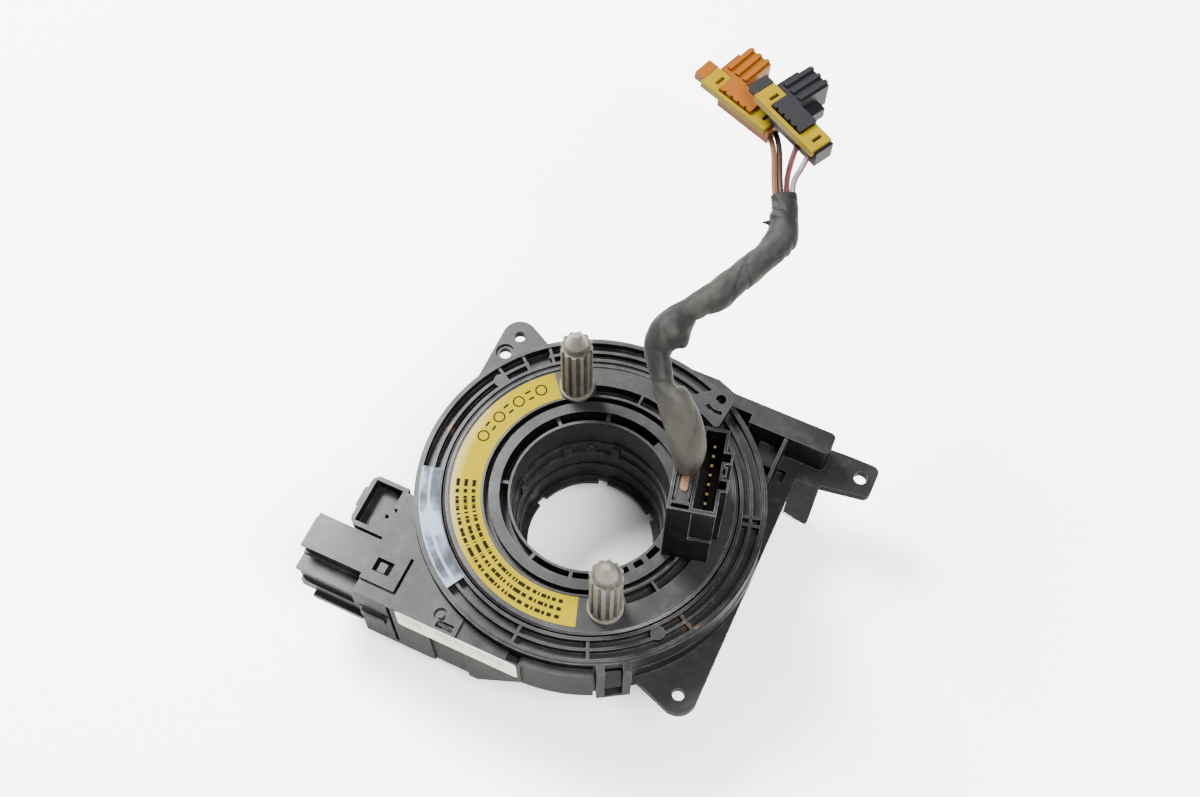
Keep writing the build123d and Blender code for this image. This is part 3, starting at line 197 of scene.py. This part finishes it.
def moulded(name, colour, dust, worn, roughness=0.40, marks=(), grease=(), walls=0.0):
    """Moulded plastic: sides as polished as walls says, polished upper faces, fine grain, pale worn edges,
    patches of dust, round marks of the ejector pins, and specks of brown grease round points of the top
    view. Marks and grease are given as x, y and radius in millimetres"""
    grain_depth, edge_radius, mark_height = 0.00004, 0.00022, 6.0
    graph = Graph(name)
    fine = graph.speckle(2600.0, 3.0, 0.6)
    cloud = graph.speckle(55.0, 5.0, 0.62)
    scuffs = graph.speckle(240.0, 4.0, 0.7)
    swirl = graph.speckle(26.0, 3.0, 0.5)
    rounded = graph.soft_edges(edge_radius)
    for socket, value in (("Specular IOR Level", 0.03), ("Coat Roughness", 0.36), ("Coat IOR", 1.5)):
        graph.shader.inputs[socket].default_value = value
    dusty = cloud.above(0.60, 0.16) * 0.30 + fine.above(0.68, 0.08) * 0.10 + scuffs.above(0.60, 0.08) * 0.45
    body = graph.mix(dusty, rgb(*colour), rgb(*dust))
    for x, y, size in grease:
        near = 1 - graph.away_from(x * MM, y * MM).above(size * MM, size * MM * 0.6)
        body = graph.mix(near * scuffs.above(0.55, 0.04), body, rgb(0.055, 0.024, 0.008))
    uneven = 0.12 + scuffs.above(0.5, 0.12) * 0.35 + cloud.above(0.5, 0.1) * 0.4
    rubbed = graph.worn_edge(rounded, 0.02) * uneven
    polish = swirl * 0.55 + cloud * 0.42 + scuffs * 0.32 - 0.16
    height = fine - graph.rings(marks) * mark_height
    return graph.surface(Base_Color=graph.mix(rubbed, body, rgb(*worn)),
                         Roughness=roughness + cloud * 0.18,
                         Coat_Weight=walls + graph.upward() * polish,
                         Normal=graph.bump(height, grain_depth, 0.35, rounded))


disc_marks = ((0.0, 36.0, 1.5), (3.8, 25.4, 1.3), (14.0, 21.3, 0.8), (-3.2, -27.2, 1.4),
              (22.3, -14.8, 1.4), (23.8, -25.5, 2.4))
housing_finish = moulded("housing_plastic", (0.0022, 0.0023, 0.0026), (0.010, 0.0098, 0.0092),
                         (0.070, 0.070, 0.070))
ring_finish = moulded("ring_plastic", (0.0022, 0.0023, 0.0026), (0.010, 0.0098, 0.0092),
                      (0.085, 0.085, 0.085), 0.36,
                      grease=((39.5, -23.2, 1.6), (37.0, -22.0, 1.0), (-44.5, 1.5, 1.2), (-41.8, 1.2, 1.0)))
rotor_finish = moulded("rotor_plastic", (0.0020, 0.0021, 0.0024), (0.009, 0.009, 0.0087),
                       (0.080, 0.080, 0.080), marks=disc_marks, walls=0.10)
header_finish = moulded("header_plastic", (0.0018, 0.0018, 0.0020), (0.010, 0.0098, 0.0094),
                        (0.20, 0.20, 0.195), 0.36)
connector_finish = moulded("connector_plastic", (0.0028, 0.0030, 0.0034), (0.012, 0.012, 0.012),
                           (0.080, 0.082, 0.085), 0.34)
carrier_finish = moulded("carrier_plastic", (0.0060, 0.0060, 0.0060), (0.020, 0.020, 0.019),
                         (0.12, 0.12, 0.12))


def plain(name, colour, roughness, metallic=0.0, tint=0.85, scale=400.0, gloss=0.5):
    """Smooth finish with a faint cloud in its colour, down to tint times the colour"""
    grain_depth, edge_radius = 0.00001, 0.0001
    graph = Graph(name)
    cloud = graph.speckle(scale, 3.0)
    dark = tuple(tint * c for c in colour)
    normal = graph.bump(cloud, grain_depth, 0.3, graph.soft_edges(edge_radius))
    graph.shader.inputs["Specular IOR Level"].default_value = gloss
    return graph.surface(Base_Color=graph.mix(cloud, rgb(*dark), rgb(*colour)),
                         Roughness=roughness, Metallic=metallic, Normal=normal)


def fluted_nylon():
    """Natural nylon of the pegs: painted shade in the flutes, dark patches that grow towards the bottom,
    plain grey cone at the tip
    """
    flute_depth, cone_height, dark_patch_top = 0.75 * MM, 4.0 * MM, 58.0 * MM
    graph = Graph("peg_nylon")
    height = graph.part(graph.place(), "Z")
    cloud = graph.speckle(160.0, 4.0, 0.6)
    fine = graph.speckle(900.0, 3.0)
    rounded = graph.soft_edges(0.0003)
    low = 1 - height.above(dark_patch_top, 18.0 * MM)
    outside = 1
    for node in ("drive_peg_a", "drive_peg_b"):
        small, big = corners(node)
        middle, radius = (small + big) / 2, (big - small)[0] / 2
        outside = graph.away_from(*middle[:2]).above(radius - flute_depth, 0.25 * MM) * outside
    # Both pegs are equally high, so the last one's top serves for both
    tip = height.above(big[2] - cone_height, 0.3 * MM)
    # Dark patches, stronger towards the bottom, and painted shade in the flutes below the cone
    patches_and_flute_shade = (0.20 + low * 0.35) * cloud.above(0.5, 0.25) + (1 - outside) * (1 - tip) * 0.75
    body = graph.mix(patches_and_flute_shade, rgb(0.080, 0.075, 0.060), rgb(0.014, 0.0115, 0.0080))
    body = graph.mix(graph.worn_edge(rounded, 0.08) * 0.6, body, rgb(0.15, 0.143, 0.125))
    graph.shader.inputs["Specular IOR Level"].default_value = 0.3
    return graph.surface(Base_Color=body, Roughness=0.38 + cloud * 0.15,
                         Normal=graph.bump(fine, 0.00003, 0.3, rounded))


def gilded_pin():
    """Header pins: a bright gold tip on a dull dark shank"""
    tip_length = 0.35 * MM
    graph = Graph("header_pin")
    tip = graph.part(graph.place(), "Z").above(corners("header_pins")[1][2] - tip_length, 0.1 * MM)
    return graph.surface(Base_Color=graph.mix(tip, rgb(0.012, 0.009, 0.005), rgb(0.36, 0.24, 0.10)),
                         Metallic=1.0, Roughness=0.30 + (1 - tip) * 0.3)


def glossy_film_tape():
    """Bluish film on the grooves: uneven pale glare, stronger on the land between the grooves and on the
    outer rim, where the film lies on the ring"""
    land_inner, land_outer, rim_inner = 43.5 * MM, 44.3 * MM, 46.2 * MM
    graph = Graph("glossy_tape")
    radius = graph.away_from(0.0, 0.0)
    streak = graph.speckle(70.0, 3.0, 0.55, graph.flat_place())
    crumple = graph.speckle(420.0, 3.0, 0.6)
    held = radius.between(land_inner, land_outer, 0.2 * MM) + radius.above(rim_inner, 0.3 * MM)
    pale = (streak + held * 0.12).above(0.50, 0.09)
    body = graph.mix(pale, rgb(0.020, 0.024, 0.032), rgb(0.14, 0.165, 0.215))
    return graph.surface(Base_Color=body, Roughness=0.10 + crumple * 0.12,
                         Normal=graph.bump(streak + crumple * 0.08, 0.0006, 0.35))


def bars(graph, across, along, rows, thick, often, share):
    """1 on plain dashes: rows at set places across, dashes and gaps of uneven length along, shorter for a
    higher often, with gaps where a noise stays under share"""
    gaps = graph.node("ShaderNodeTexNoise", {"noise_dimensions": "1D"},
                      {"W": along * often, "Scale": 1.0, "Detail": 1.0})
    lines = sum(across.between(row - thick / 2, row + thick / 2, thick / 8) for row in rows)
    return lines * gaps.above(share, 0.01)


def printed_film():
    """Yellow film: three rows of plain dark dashes that follow the disc on its lower half, plain rings with
    pairs of short dashes between them on its upper half, and a paler field of painted glare on one side"""
    row_radii, row_thick = (31.8 * MM, 34.0 * MM, 36.2 * MM), 1.05 * MM
    row_start, row_end = 198.0, 283.0
    ring_angles, ring_place, ring_size, ring_line = (139.0, 151.0, 163.0, 175.0), 34.2, 1.5, 0.22 * MM
    dash_angles, dash_length = (143.6, 155.6, 167.6), 2.8
    dash_radii, dash_thick = (33.1 * MM, 35.3 * MM), 0.6 * MM
    graph = Graph("yellow_film")
    radius, angle = graph.polar()
    turn = angle + (1 - angle.above(0.0, 0.01)) * 360.0
    cloud = graph.speckle(120.0, 3.0)
    rows = bars(graph, radius, turn, row_radii, row_thick, 0.60, 0.445)
    rows = rows * turn.between(row_start, row_end, 0.1)
    rings = graph.rings([(ring_place * np.cos(a), ring_place * np.sin(a), ring_size)
                         for a in np.radians(ring_angles)], ring_line)
    pairs = sum(radius.between(place - dash_thick / 2, place + dash_thick / 2, 0.1 * MM)
                for place in dash_radii)
    dashes = sum(turn.between(start, start + dash_length, 0.1) for start in dash_angles) * pairs
    # Painted glare: a paler field over one part of the turn, stronger towards the film's outer edge
    glare = (cloud * 0.25 + radius.above(35.0 * MM, 3.5 * MM)).above(0.9, 0.35)
    glare = glare * turn.above(165.0, 14.0) * (1 - turn.above(225.0, 16.0))
    body = graph.mix(cloud, rgb(0.158, 0.123, 0.0), rgb(0.140, 0.108, 0.0))
    body = graph.mix(glare * 0.45, body, rgb(0.30, 0.27, 0.12))
    graph.shader.inputs["Specular IOR Level"].default_value = 0.02
    return graph.surface(Base_Color=graph.mix(rows + rings + dashes, body, rgb(0.0045, 0.0036, 0.0012)),
                         Roughness=0.50 + cloud * 0.1, Normal=graph.bump(cloud, 0.00004, 0.3))


def printed_paper():
    """Cream paper with a plain grey field at its left and two rows of thin dashes"""
    soft = 0.1 * MM
    graph = Graph("paper_label")
    across, up = graph.part(graph.place(), "X"), graph.part(graph.place(), "Z")
    cloud = graph.speckle(300.0, 3.0)
    (left, _, _), (right, _, top) = corners("front_label")
    wide = right - left
    rows = bars(graph, up, across, (top - 2.2 * MM, top - 4.4 * MM), 1.2 * MM, 700.0, 0.44)
    rows = rows * across.between(left + 0.30 * wide, left + 0.90 * wide, soft)
    field = across.between(left + 0.04 * wide, left + 0.22 * wide, soft)
    field = field * up.between(top - 5.8 * MM, top - 1.4 * MM, soft)
    body = graph.mix(cloud, rgb(0.36, 0.34, 0.26), rgb(0.42, 0.40, 0.31))
    body = graph.mix(rows * 0.75 + field * 0.45, body, rgb(0.05, 0.05, 0.048))
    return graph.surface(Base_Color=body, Roughness=0.5, Normal=graph.bump(cloud, 0.00003, 0.3))


peg_finish = fluted_nylon()
pin_finish = gilded_pin()
contact_finish = plain("gold_contact", (0.42, 0.30, 0.14), 0.35, metallic=1.0)
copper_finish = plain("bare_copper", (0.098, 0.049, 0.023), 0.45, metallic=0.3)
film_finish = plain("film", (0.18, 0.09, 0.03), 0.3)
tan_finish = plain("tan_plastic", (0.115, 0.033, 0.0010), 0.45, tint=0.8, scale=220.0, gloss=0.08)
dark_plug_finish = plain("dark_plug_plastic", (0.0060, 0.0060, 0.0072), 0.5, gloss=0.10)
lock_finish = plain("yellow_plastic", (0.118, 0.080, 0.0), 0.45, gloss=0.06)
terminal_finish = plain("terminal_plastic", (0.016, 0.016, 0.016), 0.5)
tape_finish = glossy_film_tape()
paper_finish = printed_paper()
yellow_label_finish = printed_film()

for node, finish in {
        "lower_housing": housing_finish, "bottom_cover": housing_finish, "cover_ring": ring_finish,
        "main_connector_shell": connector_finish, "side_tray": connector_finish,
        "main_connector_pins": contact_finish, "tape_patch": tape_finish, "front_label": paper_finish,
        "flat_cable": film_finish, "cable_terminal_outer": terminal_finish,
        "cable_terminal_inner": terminal_finish, "rotor_disc": rotor_finish,
        "notched_ring": rotor_finish, "header_housing": header_finish, "header_pins": pin_finish,
        "drive_peg_a": peg_finish, "drive_peg_b": peg_finish, "rotor_label": yellow_label_finish,
        "harness_carrier": carrier_finish, "earth_tab": copper_finish, "brown_plug": tan_finish,
        "black_plug": dark_plug_finish, "brown_lock": lock_finish, "black_lock": lock_finish}.items():
    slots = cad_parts[node].data.materials
    slots.clear()
    slots.append(finish)


# Meshes from arrays
def tube_mesh(name, points, finish, caps=False):
    """Surface over a grid of points, rows along its length: quads between neighbours, closed round each row,
    with a flat face on each end when caps is set. Its map named wrap holds the share of the turn and the
    share of the rows"""
    rows, columns = points.shape[:2]
    index = np.arange(rows * columns).reshape(rows, columns)
    across = np.roll(index, -1, axis=1)
    quads = np.stack([index[:-1], across[:-1], across[1:], index[1:]], axis=-1).reshape(-1, 4)
    faces = quads.tolist()
    if caps:
        faces += [index[0, ::-1].tolist(), index[-1].tolist()]
    mesh = bpy.data.meshes.new(name)
    mesh.from_pydata(points.reshape(-1, 3), [], faces)
    corner = np.array([loop.vertex_index for loop in mesh.loops])
    row, column = corner // columns, corner % columns
    u = column / columns
    first = np.repeat(np.array([p.loop_start for p in mesh.polygons]),
                      [p.loop_total for p in mesh.polygons])
    u = np.where(u < u[first] - 0.5, u + 1.0, u)
    layer = mesh.uv_layers.new(name="wrap")
    layer.data.foreach_set("uv", np.column_stack([u, row / (rows - 1)]).ravel())
    mesh.polygons.foreach_set("use_smooth", [True] * len(mesh.polygons))
    mesh.update()
    piece = bpy.data.objects.new(name, mesh)
    bpy.context.scene.collection.objects.link(piece)
    mesh.materials.append(finish)
    return piece


def spline_line(name, route):
    """Points of the smooth curve whose control points are the route's"""
    curve = bpy.data.curves.new(name, "CURVE")
    curve.dimensions = "3D"
    spline = curve.splines.new("NURBS")
    spline.points.add(len(route) - 1)
    spline.points.foreach_set("co", np.column_stack([route, np.ones(len(route))]).ravel())
    spline.order_u = 3
    spline.use_endpoint_u = True
    spline.resolution_u = 24
    carrier = bpy.data.objects.new(name, curve)
    mesh = bpy.data.meshes.new_from_object(carrier)
    line = np.zeros(len(mesh.vertices) * 3)
    mesh.vertices.foreach_get("co", line)
    bpy.data.objects.remove(carrier)
    return line.reshape(-1, 3)


def even(line, count):
    """The line again with points at equal steps along it, and its length"""
    run = np.concatenate([[0], np.cumsum(np.linalg.norm(np.diff(line, axis=0), axis=1))])
    at = np.linspace(0, run[-1], count)
    return np.column_stack([np.interp(at, run, line[:, i]) for i in range(3)]), run[-1]


def turns(sides):
    """Angles round a tube, one for each of its sides"""
    return np.linspace(0, 2 * np.pi, sides + 1)[None, :-1]


def frames_along(line, across):
    """Unit directions at each point: along the line, and two across it, turned towards a fixed direction"""
    along = np.gradient(line, axis=0)
    along /= np.linalg.norm(along, axis=1)[:, None]
    first = across - (along @ across)[:, None] * along
    first /= np.linalg.norm(first, axis=1)[:, None]
    return along, first, np.cross(along, first)


# Harness
sleeve_route = np.array([
    (24.39, 5.11, 74.4), (24.39, 5.11, 81.8), (20.6, 8.6, 88.6), (14.9, 12.2, 93.6),
    (10.1, 16.1, 97.0), (8.0, 20.7, 99.4), (9.9, 26.9, 101.0), (13.4, 32.7, 102.2),
    (17.2, 38.2, 103.4), (20.9, 44.5, 104.6), (24.4, 51.2, 105.6), (25.6, 57.1, 106.6),
    (23.7, 62.5, 107.8), (21.3, 66.7, 109.0)]) * MM
SLEEVE_ROWS, SLEEVE_SIDES = 420, 64
LEAD_RADIUS, LEAD_ROWS, LEAD_SIDES = 0.74, 40, 20
LEAD_ACROSS = np.array((-0.87, -0.5, 0.0))


def sleeve_graph():
    """Heat-shrunk tubing: chalky beige-grey at its foot, dark satin beyond, painted shade in the creases and
    a painted highlight on the ridges, both from the relief that the mesh carries"""
    graph = Graph("heat_shrink")
    run = graph.part(graph.node("ShaderNodeUVMap", {"uv_map": "wrap"}), "Y")
    fine = graph.speckle(900.0, 4.0, 0.6)
    cloud = graph.speckle(95.0, 4.0, 0.6)
    chalk = (1 - run.above(0.27, 0.10)) * (0.55 + cloud * 0.6)
    rubbed = cloud.above(0.56, 0.10) * 0.30
    colour = graph.mix(chalk, rgb(0.0085, 0.0085, 0.0080), rgb(0.027, 0.0255, 0.0205))
    colour = graph.mix(rubbed, colour, rgb(0.024, 0.023, 0.0195))
    dark = run.above(0.29, 0.03) * (1 - run.above(0.50, 0.07)) + run.above(0.90, 0.03)
    colour = graph.mix(dark * (0.45 + cloud * 0.5), colour, rgb(0.0036, 0.0036, 0.0038))
    relief = graph.node("ShaderNodeAttribute", {"attribute_name": "relief"}, output="Fac")
    # Painted shade: darker where the relief sinks into a crease
    colour = graph.mix((0.46 - relief) * 3.2, colour, rgb(0.0022, 0.0022, 0.0022))
    # Painted highlight: paler where the relief rises to a ridge
    colour = graph.mix((relief - 0.52) * 2.2, colour, rgb(0.044, 0.042, 0.036))
    wrinkle = graph.speckle(330.0, 3.0, 0.55)
    graph.shader.inputs["Specular IOR Level"].default_value = 0.12
    normal = graph.bump(fine * 0.2 + wrinkle, 0.00022, 0.5)
    return graph.surface(Base_Color=colour, Roughness=0.50 + cloud * 0.2, Normal=normal)


# Relief of the sleeve. Places, widths and tilts are shares of its length, heights and depths are millimetres
BULGES = ((0.45, 0.055, 2.35), (0.62, 0.055, 0.95), (0.735, 0.06, 0.70), (0.865, 0.05, 1.05),
          (0.93, 0.03, 0.45), (1.0, 0.06, 0.25))  # place, width, height
PUSHES = ((0.29, 0.022, -0.60), (0.455, 0.045, 1.05), (0.615, 0.045, 0.55), (0.79, 0.06, -0.40),
          (0.925, 0.03, -0.50))  # place, width, shift to one side
CREASES = ((0.262, 0.012, 0.5, 0.50, 0.006), (0.515, 0.020, 0.3, 0.42, 0.008),
           (0.400, 0.030, 2.4, 0.22, 0.010), (0.585, -0.022, 0.8, 0.30, 0.008),
           (0.690, 0.016, 1.6, 0.26, 0.008), (0.815, 0.018, 0.2, 0.28, 0.006),
           (0.872, -0.020, 0.4, 0.42, 0.006), (0.905, 0.018, 2.8, 0.34, 0.005),
           (0.945, 0.010, 3.0, 0.34, 0.005))  # place, tilt, side, depth, width
WRINKLES = ((2, 17.0, 23.0, 1.3, 0.12), (5, -31.0, 41.0, 0.0, 0.07),
            (7, 63.0, 57.0, 0.7, 0.05))  # waves round, twist, waves along, phase, height
FURROWS = ((2, 38.0, 0.4, 0.24), (3, -29.0, 1.9, 0.20),
           (1, 61.0, 2.6, 0.22))  # waves round, twist, phase, depth
FOLD, THREAD_PLACE, THREAD_SIDE, THREAD_LENGTH = 0.268, 0.915, 3.1, 2.0


def sleeve():
    """Tube round its line, with the radius r(s, t) in millimetres over the share s of the length and the turn
    t. With bell(p, w) = exp(-((s - p) / w)^2), the foot is a wide tube that ends in a fold by a tanh step,
    and beyond it stand the bulges, a sum of bells. The pushes add a bell times cos t. Creases take away bells
    on rings tilted by a cosine, wrinkles add sin(n t + k s) sin(m s + c), and furrows take away the seventh
    power of 1 - |sin| of a phase that winds round. The thread's end is a narrow bell in s and t. The mouth is
    flattened, and its floor is sunk"""
    line, length = even(spline_line("sleeve_line", sleeve_route), SLEEVE_ROWS)
    along, first, second = frames_along(line, np.array((0.907, 0.421, 0.0)))
    s = np.linspace(0, 1, len(line))[:, None]
    turn = turns(SLEEVE_SIDES)

    def bell(place, width):
        return np.exp(-((s - place) / width) ** 2)

    foot = 3.55 + 1.3 * (1 - bell(0, 0.07)) - 0.5 * np.clip((s - 0.15) / 0.1, 0, 1)
    beyond = 2.95 + sum(height * bell(place, width) for place, width, height in BULGES)
    past_fold = 0.5 + 0.5 * np.tanh((s - FOLD) / (0.009 + 0.014 * (1 - np.cos(turn))))
    shift = sum(push * bell(place, width) for place, width, push in PUSHES)
    smooth = foot * (1 - past_fold) + beyond * past_fold + shift * np.cos(turn)
    radius = smooth
    for place, tilt, side, depth, width in CREASES:
        ring = bell(place + tilt * np.cos(turn - side), width)
        radius = radius - depth * ring * (0.45 + 0.55 * np.cos(turn - side)) ** 2
    for waves, twist, bumps, phase, height in WRINKLES:
        radius = radius + height * np.sin(waves * turn + twist * s) * np.sin(bumps * s + phase)
    for waves, twist, phase, depth in FURROWS:
        wound = waves * turn + twist * s + phase + 1.4 * np.sin(11 * s + phase)
        fading = (0.5 + 0.5 * np.sin(19 * s + 3 * phase)) * np.clip(s / 0.2, 0.3, 1)
        radius = radius - depth * (1 - np.abs(np.sin(wound / 2))) ** 7 * fading
    relief = np.clip(0.5 + 0.9 * (radius - smooth), 0, 1)
    thread = bell(THREAD_PLACE, 0.0055) * np.exp(-((turn - THREAD_SIDE) / 0.12) ** 2)
    radius = radius + THREAD_LENGTH * thread
    flat = 1 - 0.30 * np.clip((s - 0.90) / 0.1, 0, 1)
    outer = (line[:, None, :] + (radius * np.cos(turn))[..., None] * first[:, None, :] * MM
             + (radius * flat * np.sin(turn))[..., None] * second[:, None, :] * MM)
    centre = line[-1]
    mouth = np.stack([centre + (outer[-1] - centre) * share - along[-1] * sink * MM
                      for share, sink in ((0.86, 0.0), (0.84, 1.2), (0.0, 1.2))])
    points = np.concatenate([outer, mouth])
    piece = tube_mesh("harness_sleeve_skin", points, sleeve_graph())
    layer = piece.data.attributes.new("relief", "FLOAT", "POINT")
    # The mouth gets a low relief, so painted crease shade darkens it
    layer.data.foreach_set("value", np.concatenate([relief.ravel(), np.full(mouth[..., 0].size, 0.2)]))
    return piece, line, length


def lead_graph(name, colour, stripe, width):
    """Insulation with a second colour on one side"""
    graph = Graph(name)
    turn = graph.part(graph.node("ShaderNodeUVMap", {"uv_map": "wrap"}), "X")
    mask = turn.between(0.5 - width / 2, 0.5 + width / 2, 0.015)
    fine = graph.speckle(1500.0, 2.0)
    graph.shader.inputs["Specular IOR Level"].default_value = 0.15
    return graph.surface(Base_Color=graph.mix(mask, rgb(*colour), rgb(*stripe)), Roughness=0.5,
                         Normal=graph.bump(fine, 0.00002, 0.3))


def lead(name, route, colour, stripe, width):
    """Round tube of one radius along its line, with a stripe over a share of its turn"""
    line = even(spline_line(name + "_line", np.array(route) * MM), LEAD_ROWS)[0]
    first, second = frames_along(line, LEAD_ACROSS)[1:]
    turn = turns(LEAD_SIDES)
    points = line[:, None, :] + LEAD_RADIUS * MM * (np.cos(turn)[..., None] * first[:, None, :]
                                                    + np.sin(turn)[..., None] * second[:, None, :])
    finish = lead_graph(name + "_insulation", colour, stripe, width)
    piece = tube_mesh(name + "_skin", points, finish, caps=True)
    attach(piece, ROTOR)
    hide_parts(name)
    return piece


sleeve_skin, sleeve_line, sleeve_length = sleeve()
leads = [
    lead("lead_brown",
         ((19.88, 64.77, 108.76), (17.95, 68.14, 109.72), (13.32, 81.10, 106.6), (10.54, 83.98, 106.6)),
         (0.060, 0.022, 0.008), (0.10, 0.044, 0.020), 0.35),
    lead("lead_dark",
         ((21.15, 65.5, 108.76), (19.22, 68.87, 109.72), (14.03, 83.07, 106.6), (11.26, 85.95, 106.6)),
         (0.010, 0.0055, 0.0040), (0.022, 0.012, 0.008), 0.3),
    lead("lead_red",
         ((22.42, 66.22, 108.76), (20.49, 69.59, 109.72), (19.56, 75.69, 113.1), (19.39, 79.69, 113.1)),
         (0.022, 0.0022, 0.0042), (0.12, 0.020, 0.026), 0.40),
    lead("lead_grey",
         ((23.68, 66.94, 108.76), (21.76, 70.32, 109.72), (23.10, 73.85, 113.1), (22.94, 77.84, 113.1)),
         (0.085, 0.095, 0.115), (0.12, 0.026, 0.016), 0.42)]
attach(sleeve_skin, ROTOR)
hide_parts("harness_sleeve")

# Floor and light
floor_graph = Graph("studio_floor")
floor_finish = floor_graph.surface(Base_Color=rgb(0.94, 0.935, 0.91), Roughness=0.6)
floor_mesh = bpy.data.meshes.new("floor")
floor_mesh.from_pydata([(-3, -3, 0), (3, -3, 0), (3, 3, 0), (-3, 3, 0)], [], [(0, 1, 2, 3)])
floor_mesh.materials.append(floor_finish)
floor = bpy.data.objects.new("floor", floor_mesh)
bpy.context.scene.collection.objects.link(floor)


def softbox(name, place, size, power):
    """Square lamp that faces the middle of the part"""
    target = (0.0, 0.0, 0.02)
    lamp = bpy.data.lights.new(name, "AREA")
    lamp.size, lamp.energy = size, power
    holder = bpy.data.objects.new(name, lamp)
    bpy.context.scene.collection.objects.link(holder)
    back = np.array(place) - np.array(target)
    back /= np.linalg.norm(back)
    right = np.cross((0.0, 0.0, 1.0), back)
    right /= np.linalg.norm(right)
    holder.matrix_world = placed(right, np.cross(back, right), back, place)


softbox("key", (-0.66, 0.33, 0.90), 0.45, 78.0)
softbox("top", (0.55, -0.25, 1.15), 0.6, 52.0)
softbox("front_fill", (0.2, -0.95, 0.7), 0.6, 5.0)
world = bpy.data.worlds.new("studio")
world.use_nodes = True
sky = world.node_tree.nodes["Background"]
sky.inputs["Color"].default_value = (1.0, 0.99, 0.975, 1.0)
sky.inputs["Strength"].default_value = 0.80
bpy.context.scene.world = world
